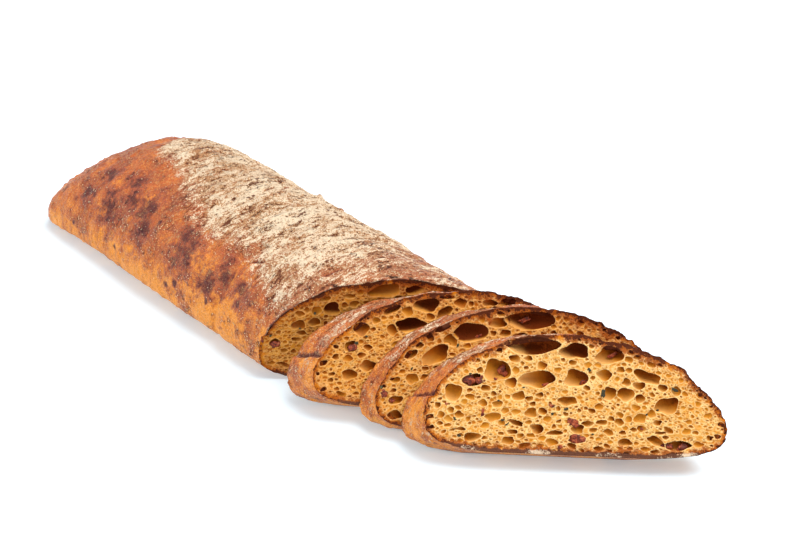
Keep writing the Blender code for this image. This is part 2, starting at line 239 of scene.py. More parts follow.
def closed_piece(name, grid, marks, first, last, material, node):
    """A piece from a grid of points whose columns run round it. Its end rows close onto a point ("pole")
    or a line ("spine"), or the last one onto the first ("ring")."""
    rows, columns = grid.shape[:2]
    bm = bmesh.new()
    bmesh.ops.create_grid(bm, x_segments=columns, y_segments=rows - 1, size=1)
    mesh = bpy.data.meshes.new(name)
    bm.to_mesh(mesh)
    mesh.vertices.foreach_set("co", wrapped(grid))
    for label, values in marks.items():
        mesh.attributes.new(label, "FLOAT", "POINT").data.foreach_set("value", wrapped(values))
    bm.clear()
    bm.from_mesh(mesh)
    bm.verts.ensure_lookup_table()
    target = np.arange(rows * (columns + 1)).reshape(rows, -1)
    target[:, -1] = target[:, 0]
    half = columns // 2
    for row, kind in ((0, first), (-1, last)):
        if kind == "pole":
            target[row] = target[row, 0]
        elif kind == "spine":
            target[row, half + 1 : -1] = target[row, half - 1 : 0 : -1]
        else:
            target[row] = target[0]
    numbered = enumerate(target.ravel().tolist())
    pairs = {bm.verts[vert]: bm.verts[other] for vert, other in numbered if vert != other}
    bmesh.ops.weld_verts(bm, targetmap=pairs)
    bmesh.ops.recalc_face_normals(bm, faces=bm.faces)
    bm.to_mesh(mesh)
    bm.free()
    hand_over(name, mesh, material, node)


def with_rows(marks, count):
    """Repeats the last row of all marks, for the hidden rows that close a piece."""
    return {label: np.concatenate((rows, np.tile(rows[-1:], (count, 1)))) for label, rows in marks.items()}


LOAF_DOME = 236
LOAF_SOLE = 38
LOAF_TIP_ROWS = 44
LOAF_TIP_POWER = 2.2
LOAF_ROWS = 305
STREAK = (0.33, 0.94)  # the way the flour was drawn out, along and across
# The left edge of the flour, along and across, in millimetres
FLOUR_EDGE_X = (-284, -232, -211, -176, -142, -116, -84, -60, -42, 0)
FLOUR_EDGE_Y = (62, 20, -16, -22, -36, -45, -36, -48, -53, -58)
BLISTER = 3  # a dark spot under this size is a burnt blister, a larger one a baked patch
# Dark baked patches and blisters: along from the cut, across, up and size, in millimetres
PATCHES = (
    (-218, -39, 43, 8), (-225, -51, 32, 8), (-199, -51, 33, 14), (-186, -43, 41, 9), (-170, -43, 42, 11),
    (-195, -37, 46, 9), (-163, -52, 34, 9), (-122, -50, 36, 14), (-127, -44, 41, 9), (-87, -46, 37, 10),
    (-96, -52, 30, 10), (-69, -48, 35, 8), (-150, -11, 55, 10), (-149, 23, 51, 9), (-167, 11, 54, 8),
    (-196, 8, 52, 9), (-166, -42, 43, 2.6), (-204, -48, 35, 2.2), (-120, -57, 21, 2.6),
    (-228, -60, 16, 2.4), (-182, -59, 18, 2.2), (-128, -58, 17, 2.8), (-153, -46, 40, 2.2),
    (-92, -55, 22, 2.4), (-66, -52, 30, 2.2),
)
# Short cracks across the floured top, each between two points, and flakes of dough that stand up from
# it: along, across and up, in millimetres
CRACKS = (
    (-129, -21, -128, -16), (-125, 2, -130, 12), (-128, 16, -133, 25), (-30, -23, -28, -15),
    (-78, -38, -69, -34),
)
CRACK_WIDTH = 0.85
LIFTED_FLAKES = ((-119, 34, 46), (-100, 35, 45), (-60, 33, 44), (-176, 30, 46))
LIFTED_SIZE = 1.2
# The seam that the folded dough left low on the left side, from the cut on, in millimetres
SEAM_UP = 24.3
SEAM_ALONG = (-4, 3, 20, 26, 36, 44, 58)
SEAM_STRENGTH = (0, 1, 1, 0.3, 0.3, 0.9, 0.9)


def crust_marks(place, up_share):
    """How floured and how darkly baked the skin is at each place in the loaf's own frame."""
    in_mm = place / MM
    x, y, z = np.moveaxis(in_mm, -1, 0)
    high = eased(z, 12, 28)
    edge = np.interp(x, FLOUR_EDGE_X, FLOUR_EDGE_Y)
    flour = eased(y - edge + 5 * fine_noise(place, 14, 11), -4, 14)
    flour *= 0.72 + 0.4 * eased(-np.abs(y - 8), -58, -10)
    flour *= 1 - 0.55 * eased(x, -70, -5)
    flour *= 0.84 + 0.16 * eased(x, -230, -140)
    flour *= eased(up_share, 0.16, 0.5)
    dark = 0.5 * eased(fine_noise(place, 12, 23), 0.15, 0.8) * high
    wobble = 0.4 * fine_noise(place, 5, 17) + 0.25 * fine_noise(place, 2.2, 18)
    for *spot, size in PATCHES:
        far = np.linalg.norm(in_mm - spot, axis=-1) / size + wobble
        if size < BLISTER:
            dark = np.maximum(dark, 1.15 * (1 - eased(far, 0.1, 1.25)))
        else:
            dark = np.maximum(dark, 0.82 * (1 - eased(far, -0.1, 1.7)))
            dark = np.maximum(dark, 0.4 * (1 - eased(far, 0.7, 2.3)) * high)
    above, strength = seam(place)
    tucked = 0.9 * strength * np.exp(-(((above - 1) / 1.7) ** 2))
    opened, standing = small_flaws(in_mm)
    flour *= 1 - 0.8 * np.maximum(opened, standing)
    return flour, np.max((dark, tucked, opened, 0.8 * standing), axis=0)


def seam(place):
    """How many millimetres each place is above the seam, and how marked the seam is there."""
    strength = np.interp(place[..., 0] / MM, SEAM_ALONG, SEAM_STRENGTH) * eased(-place[..., 1] / MM, 38, 46)
    return place[..., 2] / MM - SEAM_UP + 1.4 * fine_noise(place, 7, 29), strength


def small_flaws(in_mm):
    """How much each place lies in a short crack, and how much on a flake that stands up, 0 to 1."""
    opened = np.zeros(in_mm.shape[:-1])
    for x0, y0, x1, y1 in CRACKS:
        way = np.array((x1 - x0, y1 - y0))
        from_start = in_mm[..., :2] - (x0, y0)
        share = np.clip(from_start @ way / (way @ way), 0, 1)
        off = np.linalg.norm(from_start - share[..., None] * way, axis=-1)
        opened = np.maximum(opened, np.exp(-((off / CRACK_WIDTH) ** 2)) * (in_mm[..., 2] > 20))
    standing = np.zeros(in_mm.shape[:-1])
    for spot in LIFTED_FLAKES:
        off = np.linalg.norm((in_mm - spot) * (1, 0.6, 0.6), axis=-1)
        standing = np.maximum(standing, np.exp(-((off / LIFTED_SIZE) ** 4)))
    return opened, standing


def crust_relief(place, flour, dark):
    """The fine relief of the skin, in metres, and how far each place is lifted as a flake, 0 to 1."""
    flow = place.copy()
    flow[..., 0] = STREAK[1] * place[..., 0] - STREAK[0] * place[..., 1]
    flow[..., 1] = STREAK[0] * place[..., 0] + STREAK[1] * place[..., 1]
    flow[..., 0] += 2.5 * MM * fine_noise(place, 24, 31)
    long_flake = fine_noise(flow, (4, 11, 8), 37)
    small_flake = fine_noise(flow, (2.2, 4, 3.4), 41)
    lifted = eased(long_flake + 0.7 * small_flake, -0.15, 0.2)
    crack = np.exp(-((fine_noise(flow, (7, 22, 12), 43) / 0.045) ** 2))
    grain = fine_noise(place, 2, 47)
    blister = eased(fine_noise(place, 3.4, 53), 0.2, 0.7)
    relief = flour * (0.6 * lifted - 0.5 * crack)
    relief += (1 - flour) * (0.5 * blister - 0.3 * dark)
    relief += 0.2 * grain + (0.6 - 0.3 * flour) * fine_noise(place, 6.5, 59)
    above, strength = seam(place)
    lobe = eased(-above, -0.8, 1.2) * (1 - eased(-above, 6, 17))
    relief += strength * (1.4 * lobe - 0.7 * np.exp(-((above - 0.8) ** 2)))
    opened, standing = small_flaws(place / MM)
    relief += 1.5 * standing - 1 * opened
    return relief * MM, lifted * (1 - 0.8 * crack)


tip = END_ROUND * (np.arange(LOAF_TIP_ROWS) / LOAF_TIP_ROWS) ** LOAF_TIP_POWER
rest = np.linspace(END_ROUND, LOAF_LENGTH, LOAF_ROWS + 1)
loaf_distance = np.concatenate((tip, rest))[:, None]
loaf_angles = spread_angles(LOAF_DOME, LOAF_SOLE)
loaf_grid = skin(loaf_distance - LOAF_LENGTH, loaf_angles[None, :], (loaf_distance / LOAF_LENGTH) ** 2)
up_share = np.clip(loaf_grid[..., 2] / LOAF_HEIGHT, 0, 1)
flour, dark = crust_marks(loaf_grid, up_share)
relief, lifted = crust_relief(loaf_grid, flour, dark)
loaf_x, _, loaf_z = np.moveaxis(loaf_grid, -1, 0) / MM
fade = eased(loaf_z, 0.2, 3) * eased(loaf_distance / MM, 0, 4)
loaf_skin = loaf_grid + outward(loaf_grid) * (relief * fade)[..., None]
loaf_skin[-1, :, :2] = loaf_grid[-1, :, :2] + (loaf_skin[-1] - loaf_grid[-1])[:, 1:2] * np.array(
    (math.tan(CUT_BIAS), 1)
)
near_cut = eased(loaf_x, -42, -14)
far_end = 1 - eased(loaf_x, -240, -160)
glowing = eased(loaf_x, -140, -70) * (1 - eased(loaf_z, 14, 34))
at_rim = eased(loaf_distance - LOAF_LENGTH, -3 * MM, -0.2 * MM) * eased(up_share, 0.1, 0.4)
loaf_marks = {
    "flour": np.maximum(flour, 0.2 * near_cut),
    "dark": np.maximum(dark, 0.9 * at_rim),
    "lifted": lifted,
    "rise": np.maximum(up_share - 0.3 * glowing, 0.4 * near_cut) + 0.28 * far_end,
}


class Tone:
    """A number or a colour inside a material. Arithmetic on tones adds Math nodes, node() all others."""

    def __init__(self, tree, socket=None):
        self.tree = tree
        self.socket = socket

    def node(self, kind, settings, inputs, output=0):
        made = self.tree.nodes.new("ShaderNode" + kind)
        for name, value in settings.items():
            setattr(made, name, value)
        for name, value in inputs.items():
            socket = made.inputs[name]
            if isinstance(value, Tone):
                self.tree.links.new(value.socket, socket)
            elif socket.type == "RGBA":
                socket.default_value = (*value, 1)
            else:
                socket.default_value = value
        return Tone(self.tree, made.outputs[output])

    def arithmetic(operation, other_first=False):
        def result(self, other):
            first, second = (other, self) if other_first else (self, other)
            return self.node("Math", {"operation": operation}, {0: first, 1: second})

        return result

    __add__, __radd__ = arithmetic("ADD"), arithmetic("ADD", True)
    __sub__, __rsub__ = arithmetic("SUBTRACT"), arithmetic("SUBTRACT", True)
    __mul__, __rmul__ = arithmetic("MULTIPLY"), arithmetic("MULTIPLY", True)

    def eased(self, low, high):
        """0 up to low, 1 from high on, and an S-curve between."""
        inputs = {"Value": self, "From Min": low, "From Max": high}
        return self.node("MapRange", {"interpolation_type": "SMOOTHSTEP"}, inputs)

    def marks(self, *labels):
        """What the mesh says under each label."""
        return [self.node("Attribute", {"attribute_name": label}, {}, "Fac") for label in labels]

    def blend(self, first, second):
        """The colour first where this tone is 0, and second where it is 1."""
        return self.node("Mix", {"data_type": "RGBA"}, {0: self, 6: first, 7: second}, 2)

    def coated(self, *layers):
        """A colour under coats, each a share and a colour."""
        base = self
        for share, colour in layers:
            base = share.blend(base, colour)
        return base

    def speckle(self, scale, detail, rough):
        """Noise around 0 over this tone's place, with `scale` lumps to a metre."""
        inputs = {"Vector": self, "Scale": scale, "Detail": detail, "Roughness": rough}
        return self.node("TexNoise", {}, inputs) - 0.5


def new_finish(name):
    """A new material, the place on the mesh as a tone, and the shader."""
    material = bpy.data.materials.new(name)
    material.use_nodes = True
    tree = material.node_tree
    return material, Tone(tree).node("TexCoord", {}, {}, "Object"), tree.nodes["Principled BSDF"]


def dress(shader, colour, roughness, gloss, height, distance, strength):
    """Gives a shader its colour, roughness, gloss and relief."""
    bump = colour.node("Bump", {}, {"Strength": strength, "Distance": distance, "Height": height})
    for socket, value in (("Base Color", colour), ("Roughness", roughness), ("Normal", bump)):
        colour.tree.links.new(value.socket, shader.inputs[socket])
    shader.inputs["Specular IOR Level"].default_value = gloss


CRUST_ORANGE = (0.88, 0.305, 0.038)
CRUST_RED = (0.56, 0.132, 0.03)
CRUST_BROWN = (0.25, 0.052, 0.028)
CRUST_MAROON = (0.35, 0.078, 0.044)
CRUST_DEEP = (0.068, 0.013, 0.016)
# the colour of painted shade in the flour's crevices
CRUST_CREVICE_SHADE = (0.13, 0.03, 0.011)
# the colour of the painted highlights on the crust's fine relief
CRUST_HIGHLIGHT = (0.98, 0.5, 0.14)
FLOUR_GROUND = (0.4, 0.14, 0.062)
FLOUR_WHITE = (0.85, 0.67, 0.475)
FLOUR_DUSTY = (0.5, 0.26, 0.11)
FLOUR_FLECK = (0.98, 0.76, 0.46)


def crust_finish():
    material, place, shader = new_finish("baked_crust")
    drawn_out = {"Vector": place, "Rotation": (0, 0, math.atan2(*STREAK)), "Scale": (1, 0.35, 0.6)}
    flow = place.node("Mapping", {}, drawn_out)
    upright = place.node("Mapping", {}, {"Vector": place, "Scale": (1, 0.5, 0.28)})
    grit = place.speckle(1500, 2, 0.6)
    fine = place.speckle(600, 3, 0.65)
    mottle = place.speckle(170, 4, 0.65)
    broad = place.speckle(48, 3, 0.6)
    drawn = flow.speckle(620, 3, 0.6)
    flake = flow.speckle(270, 3, 0.55)
    band = flow.speckle(75, 2, 0.5)
    vein = flow.speckle(170, 3, 0.6)
    streak = upright.speckle(420, 3, 0.6)
    grains = place.node("TexVoronoi", {"feature": "F1"}, {"Vector": place, "Scale": 680})
    flour, dark, lifted, rise = place.marks("flour", "dark", "lifted", "rise")
    red = (rise + 2.8 * broad + 2 * mottle + 1.6 * fine + 0.9 * streak).eased(-0.05, 0.6)
    brown = (0.5 * rise + 3.2 * broad + 2.2 * mottle + 1.6 * fine + 0.5 * streak).eased(0.1, 0.9)
    # Painted highlight on the peaks of the fine relief, and painted shade in its hollows
    relief_highlight = (1.6 * fine + 2.4 * grit).eased(0, 0.42)
    relief_shade = (-1.8 * fine - 2.4 * grit).eased(0, 0.42)
    deep = (dark + mottle + 0.8 * fine).eased(0.02, 1)
    dusty = (flour + 1.2 * band + 1.6 * flake + 1.6 * drawn + 1.4 * fine + 2.4 * grit).eased(0.25, 1)
    powder = 0.7 * flour + 0.3 * (lifted - 0.5) + 1.7 * band + 2 * flake + 2 * drawn
    powder = (powder + 1.8 * fine + 3 * grit).eased(0.5, 0.92)
    powder = powder * flour.eased(0.02, 0.3) * (1 - 0.5 * deep)
    # Painted shade in the low crevices between the flour flakes, where bare crust also shows
    crevice_shade = (-2.4 * flake - 2.2 * drawn - 1.8 * fine - 1.4 * grit - 0.3 * lifted).eased(0.28, 0.5)
    crevice_shade *= flour.eased(0.05, 0.3)
    crack = vein.node("Math", {"operation": "ABSOLUTE"}, {0: vein})
    crack = (1 - crack.eased(0.003, 0.016)) * (broad + 1.2 * mottle).eased(0.06, 0.16)
    fleck = (2.4 * mottle + 1.5 * broad + fine - 0.2 * deep).eased(0.05, 0.2) * (1 - powder)
    colour = red.blend(CRUST_ORANGE, CRUST_RED).coated(
        (brown * 0.8, CRUST_BROWN),
        (relief_highlight * 0.42, CRUST_HIGHLIGHT),
        (relief_shade * 0.35, CRUST_BROWN),
        (deep.eased(0, 0.55) * 0.62, CRUST_MAROON),
        (deep.eased(0.3, 1) * 0.85, CRUST_DEEP),
        (flour.eased(0.1, 0.7) * 0.9 * (1 - 0.6 * deep), FLOUR_GROUND),
        (dusty * 0.9, FLOUR_DUSTY),
        (powder, FLOUR_WHITE),
        (crevice_shade * 0.9, CRUST_CREVICE_SHADE),
        (crack * 0.85, CRUST_DEEP),
        (fleck * 0.9 * (1 - grains.eased(0.12, 0.28)), FLOUR_FLECK),
    )
    height = mottle * 1.7 + fine * 1.3 + streak * 0.5 * (1 - flour) + (flake * 2.4 + drawn * 1.2) * flour
    height += grit * 0.2 - crevice_shade * 0.3 - crack * 0.5
    dress(shader, colour, 0.42 + powder * 0.45 - deep * 0.05, 0.22, height, 0.0019, 1)
    return material


baked_crust = crust_finish()


def shrunk(rim, share, shift):
    """A row of points for a hidden end: a rim drawn in towards its middle and moved."""
    middle = rim.mean(axis=0)
    return (middle + (rim - middle) * share + shift)[None]


LOAF_WALL = np.array((-14, 0, 0)) * MM
loaf_end = [shrunk(loaf_skin[-1], share, LOAF_WALL) for share in (0.95, 0)]
loaf_closed = np.concatenate((loaf_skin, *loaf_end)) + ROW_SHIFT
loaf_marks = with_rows(loaf_marks, len(loaf_end))
closed_piece("loaf_crust", loaf_closed, loaf_marks, "pole", "pole", baked_crust, "loaf")

# Cut of the loaf
# The knife laid the crumb open: a yellow sponge with gas bubbles of every size, tinted by tomato, and
# toasted to orange just under the crust.
CUT_COLUMNS = (414, 414)
CUT_RINGS = 76
CUT_SPINE = 41  # half the line in the middle of a cut, in millimetres
CUT_SPINE_UP = 25 * MM
BIG_DEPTH = 0.42
# The first bubbles of a cut are painted in shade deep inside
GLOOMY = 2  # how many of a cut's first bubbles lie in the dark
LOAF_DEEPEST = 6.5
BOWL_ROOF = 0.3
# The same side is where painted shade falls inside each bubble
DEEP_SIDE = math.radians(65)  # where bubbles run on under the cut
RIND = 1.3
SKIN_COVER = 2  # millimetres that a bubble stays from the skin
WALL = 0.3
# Bubbles by size: largest and smallest half-width in millimetres, how many are tried, and how deep the
# shallowest and the deepest are for their size
SIZES = (
    (3.2, 1.9, 70, 0.6, 1.3), (2.1, 1.1, 460, 0.4, 1.3), (1.15, 0.6, 1900, 0.35, 1.3),
    (0.65, 0.34, 3600, 0.4, 1.4),
)
CELLS = ((3.3, 0.5), (1.9, 0.4), (1.25, 0.25))  # pits of the sponge: width and depth, in millimetres
# The bubbles that show most on a cut: across, up, width, height and tilt, in millimetres and degrees
LOAF_BUBBLES = (
    (-32.7, 39.3, 8.5, 7, 0), (7.5, 49.4, 8.5, 5, 0), (-6.7, 49, 15.6, 7.2, 12),
    (-49.2, 30.5, 7.1, 5.3, 11), (-40.1, 38.4, 4.7, 5.3, 0), (-48.3, 36.7, 4.7, 3.5, 0),
    (-24.1, 46.2, 6.2, 2.6, 0), (-61, 20.4, 6.3, 4.5, 0), (-47.8, 26.1, 5.5, 2.7, 0),
    (-50.2, 22.5, 5.5, 2.7, 0), (-56.6, 16.3, 3.9, 2.7, 0), (-51.9, 15.8, 3.1, 2.7, 0),
    (-57, 8.3, 6.4, 3, -23), (-35.7, 44.6, 5.4, 3, 10), (12, 36, 9, 6, 8), (30, 40, 10, 5.5, -20),
    (-12, 30, 6.5, 4.5, 0), (44, 22, 8, 5, -10),
)


def cut_disc(rim, rings):
    """Rings of points from a line in a cut's middle out to its rim, and their millimetres from the rim."""
    columns = len(rim)
    turn = 2 * np.pi * np.arange(columns) / columns
    middle = (rim[:, 0].min() + rim[:, 0].max()) / 2
    across = middle + CUT_SPINE * MM * np.cos(turn)
    spine = np.stack((across, rim[:, 1], np.full(columns, CUT_SPINE_UP)), axis=-1)
    share = np.linspace(0, 1, rings + 1)[:, None]
    disc = spine + (rim - spine) * share[..., None]
    return disc, (1 - share) * np.linalg.norm(rim - spine, axis=-1) / MM


def foam(rim, given, seed, crowding=1):
    """All bubbles of a cut: the given ones, then ever smaller ones where there is room.
    Each is across, up, half-width, half-height, tilt and depth, in millimetres and radians."""
    rng = np.random.default_rng(seed)
    outline = rim[::4, ::2] / MM
    middle = (outline[:, 0].min() + outline[:, 0].max()) / 2
    table = np.zeros((4000, 6))
    count = len(given)
    for number, (x, z, wide, high, tilt) in enumerate(given):
        table[number] = (x, z, wide / 2, high / 2, math.radians(tilt), BIG_DEPTH * wide)
    for largest, smallest, tries, shallow, deep in SIZES:
        for _ in range(int(tries * crowding)):
            spot = outline[rng.integers(len(outline))]
            start = np.array((middle + rng.uniform(-CUT_SPINE, CUT_SPINE), CUT_SPINE_UP / MM))
            x, z = start + (spot - start) * math.sqrt(rng.uniform())
            flatten = 1.25 + 0.9 * math.exp(-z / 9) + rng.uniform(-0.3, 0.35)
            tilt = rng.normal(0, 0.2) - 0.006 * (x - middle) * min(1, z / 40)
            wanted = largest + (smallest - largest) * rng.uniform() ** 0.6
            depth = shallow + (deep - shallow) * rng.uniform() ** 1.6
            space = np.hypot(*(outline - (x, z)).T).min() - RIND
            if space < smallest:
                continue
            half = math.sqrt(flatten), 1 / math.sqrt(flatten)
            others = table[:count]
            gap = others[:, :2] - (x, z)
            far = np.hypot(*gap.T)
            heading = np.arctan2(gap[:, 1], gap[:, 0])
            a, b, turn = others[:, 2], others[:, 3], heading - others[:, 4]
            theirs = a * b / np.hypot(b * np.cos(turn), a * np.sin(turn))
            ours = 1 / np.hypot(np.cos(heading - tilt) / half[0], np.sin(heading - tilt) / half[1])
            room = min(((far - theirs - WALL) / ours).min(), space / half[0] + 0.3)
            size = min(room, wanted)
            if size < smallest:
                continue
            table[count] = (x, z, size * half[0], size * half[1], tilt, size * depth)
            count += 1
    return table[:count]


def rind_thickness(rim):
    """The rind's thickness along the rim of a cut, in millimetres: thin on the left, where the dough was
    folded, and thick on the right and at the top."""
    x, z = (rim[:, 0] - rim[:, 0].min()) / MM, rim[:, 2] / MM
    top = eased(z, 38, 54)
    right = eased(x, 95, 125) * eased(z, 16, 34)
    sole = 1 - eased(z, 1, 6)
    left = 1 - eased(x, 4, 22)
    thick = 1.1 + 1.8 * top + 1.6 * right + 1.7 * sole - 0.3 * left
    ripple = 0.8 * fine_noise(rim, 11, 71) + 0.8 * fine_noise(rim, 3.5, 73)
    return np.maximum(0, thick * (1 + ripple))


def sponge_cells(spots, size, seed):
    """Pits about `size` apart over points in a plane: how deep each point lies, how near it is to a brim,
    and a random value for each pit, all 0 to 1."""
    place = spots / size
    base = np.floor(place)
    nearest = np.full(place.shape[:-1], 9.0)
    second = nearest.copy()
    value = np.zeros(place.shape[:-1])
    for step in np.ndindex(3, 3):
        corner = base + step - 1
        jitter = np.sin(corner @ ((12.9898, 39.346), (78.233, 11.135)) + seed)
        jitter = jitter * (43758.5453, 24634.6345) % 1
        far = np.linalg.norm(corner + 0.08 + 0.84 * jitter - place, axis=-1)
        closer = far < nearest
        second = np.where(closer, nearest, np.minimum(second, far))
        value = np.where(closer, jitter @ (1, 7) % 1, value)
        nearest = np.minimum(nearest, far)
    radius = 0.14 + 0.32 * value
    pit = eased(radius - nearest, 0, 0.16) * eased(second - nearest, 0.02, 0.2)
    return pit, np.exp(-(((nearest - radius) / 0.1) ** 2)), value


def under_skin(grid, rim, depth, inward):
    """Draws points that lie `depth` millimetres under a cut back from the skin, which leans over them
    because the cut is on a bias."""
    middle = (rim[:, 0].min() + rim[:, 0].max()) / 2
    across, up = rim[:, 0] - middle, rim[:, 2] - CUT_SPINE_UP
    turn = np.arctan2(up, across)
    order = np.argsort(turn)
    drift = inward * math.tan(CUT_BIAS) * depth * MM
    here_across, here_up = grid[..., 0] + drift - middle, grid[..., 2] - CUT_SPINE_UP
    heading = np.arctan2(here_up, here_across)
    reach = np.interp(heading, turn[order], np.hypot(across, up)[order], period=2 * math.pi)
    cover = np.clip(0.9 * depth, 0, SKIN_COVER + 0.12 * depth) * MM
    share = np.minimum(1, (reach - cover) / np.maximum(np.hypot(here_across, here_up), 1e-6))
    grid[..., 0] = middle + here_across * share - drift
    grid[..., 2] = CUT_SPINE_UP + here_up * share


def open_bubbles(disc, edge, bubbles, inward, deepest, seed, warm_shade_share, gloomy=GLOOMY):
    """Sinks the bubbles into a disc, towards +Y where inward is 1 and towards -Y where it is -1. Returns
    the new points and what the crumb's colours are read from."""
    rng = np.random.default_rng(seed)
    flat = disc[..., ::2].reshape(-1, 2) / MM
    order = np.argsort(flat[:, 0])
    in_order = flat[order, 0]
    drift = np.zeros_like(flat)
    fields = np.zeros((6, *edge.shape))
    sunk, hole_shade, shade, wall, tint, cavity = fields.reshape(6, -1)
    for number, (x, z, half_wide, half_high, tilt, depth) in enumerate(bubbles):
        reach = 1.5 * max(half_wide, half_high) + 0.6
        near = order[slice(*np.searchsorted(in_order, (x - reach, x + reach)))]
        near = near[np.abs(flat[near, 1] - z) < reach]
        away = flat[near] - (x, z)
        turn = np.array(((math.cos(tilt), math.sin(tilt)), (-math.sin(tilt), math.cos(tilt))))
        local = away @ turn.T / (half_wide, half_high)
        angle = np.arctan2(local[:, 1], local[:, 0])
        size = math.sqrt(half_wide * half_high)
        lobes = rng.uniform(0, 2 * np.pi, 4)
        weight = np.array((0.06, 0.07, 0.05, 0.04)) * rng.uniform(0.4, 1.6, 4)
        ring = 1 + sum(weight[i] * np.cos((i + 2) * angle + lobes[i]) for i in range(4))
        radius = np.hypot(*local.T)
        share = radius / ring
        share = np.where(np.abs(share - 1) < 0.2 / size, 1, share)
        bowl = min(depth, deepest)
        heading = DEEP_SIDE + rng.normal(0, 0.5)
        roof = (BOWL_ROOF if size > 2.2 else 0.12) * (1 + 0.9 * np.cos(angle + tilt - heading))
        lift = np.arctan(roof)
        polar = lift - (1 - share) * (lift + math.pi / 2)
        full = np.hypot(1, roof)
        bulge = full * np.cos(polar)
        down = (roof - full * np.sin(polar)) / (roof + full)
        inside = share <= 1
        scale = np.where(inside & (radius >= 1e-3), bulge * ring / np.maximum(radius, 1e-6), 1)
        moved = (local * scale[:, None] * (half_wide, half_high)) @ turn
        side = np.array((math.cos(heading), math.sin(heading)))
        run = min(0.45, 0.4 * bowl / size) * bowl
        moved = moved + side * run * down[:, None]
        within = near[inside]
        drift[within] += (moved - away)[inside]
        sunk[within] += bowl * down[inside]
        above = np.clip((away @ side) / size, -1.1, 1.1)[inside]
        strength = min(1, 0.35 + 0.85 * bowl / size) * (1 - 0.45 * rng.uniform() ** 2)
        if number < gloomy:
            strength = 1
        under = strength * eased(down[inside], 0, 0.5)
        # Painted light on the wall inside each bubble that faces the lamp
        lit = strength * eased(down[inside], 0.02, 0.3) * eased(-above, 0, 0.9)
        # Painted shade deep in each bubble on its side away from the lamp, and all through the gloomy ones
        gloom_shade = 0.8 if number < gloomy else 0
        painted_shade_amount = under * min(1, bowl / 1.6) * eased(above + 0.4 * down[inside] + gloom_shade, -0.05, 1.15)
        # Pale thin walls round each bubble's brim, with a painted highlight
        rim_highlight = min(1, 0.5 + 0.6 * bowl / size) * np.exp(-(((share - 1.03) * size / 0.36) ** 2))
        for values, spots, new in (
            # Painted shade in the bubble's hollow, lighter on the side the lamp lights
            (hole_shade, within, under * (0.45 + 0.55 * eased(above, -0.5, 0.5))),
            (wall, within, 0.55 * lit),
            (wall, near, rim_highlight),
            (cavity, near, 1 - eased(share, 0.97, 1 + 0.3 / size)),
            (shade, within, painted_shade_amount),
        ):
            values[spots] = np.maximum(values[spots], new)
        tint[within] = rng.uniform(-1, 1)
    grid = disc.copy()
    grid[..., ::2] += drift.reshape(*edge.shape, 2) * MM
    bend = np.stack([1.3 * fine_noise(disc, 9, seed + step) for step in (2, 3)], axis=-1)
    spots = flat.reshape(*edge.shape, 2) * (0.8, 1.15) + bend
    sunk, hole_shade, shade, wall, tint, cavity = fields
    open_flat = (1 - cavity) * eased(edge, 0.8, 3)
    for wide, deep in CELLS:
        pit, brim, value = sponge_cells(spots, wide, seed + wide)
        depth = open_flat * (0.25 + 0.6 * value) * pit
        sunk += deep * depth
        # Painted shade in the sponge's pits
        hole_shade = np.maximum(hole_shade, 0.95 * depth)
        # Pale walls round the sponge's pits, with a painted highlight
        wall = np.maximum(wall, 0.6 * open_flat * (0.3 + 0.7 * value) * brim)
        open_flat = open_flat * (1 - pit)
    rough = 0.07 * fine_noise(disc, 1.1, seed) + 0.25 * fine_noise(disc, 5.5, seed + 1)
    rough += 0.45 * np.exp(-edge / 3) * fine_noise(disc, 1.6, seed + 7)
    depth = sunk + (0.12 + rough) * eased(edge, 0.1, 1)
    under_skin(grid, disc[-1], depth, inward)
    grid[..., 1] += inward * depth * MM
    marks = {
        "shade": shade,
        "hole_shade": hole_shade,
        "wall": np.minimum(wall, 1),
        "tint": tint,
        "edge": edge,
        "sole": 1 - eased(disc[..., 2] / MM, 2.5, 4.5),
        "rind": np.broadcast_to(rind_thickness(disc[-1]), edge.shape),
        # how much painted warm shade the whole cut gets
        "warm_shade": np.full(edge.shape, warm_shade_share),
    }
    return grid, marks


CRUMB_CREAM = (0.72, 0.38, 0.098)
CRUMB_GOLD = (0.63, 0.25, 0.028)
# the pale thin walls and painted highlights of the crumb
CRUMB_PALE_HIGHLIGHT = (0.89, 0.61, 0.27)
# the deeper amber of painted shade over a cut that stands in shade
CRUMB_WARM_SHADE = (0.57, 0.18, 0.004)
# Colours of painted shade in hollows: honey, then amber where deeper
CRUMB_HONEY_SHADE = (0.58, 0.215, 0.016)
CRUMB_AMBER_SHADE = (0.4, 0.098, 0.005)
CRUMB_RICH = (0.63, 0.215, 0.012)
CRUMB_TOAST = (0.57, 0.16, 0.009)
SOLE_MAUVE = (0.125, 0.05, 0.03)
SOLE_FLOUR = (0.72, 0.54, 0.37)
# the colour of painted shade deep in the bubbles
CRUMB_CAVE_SHADE = (0.105, 0.014, 0.002)
CRUST_LINE = (0.06, 0.014, 0.009)
TOAST_BROWN = (0.34, 0.07, 0.009)


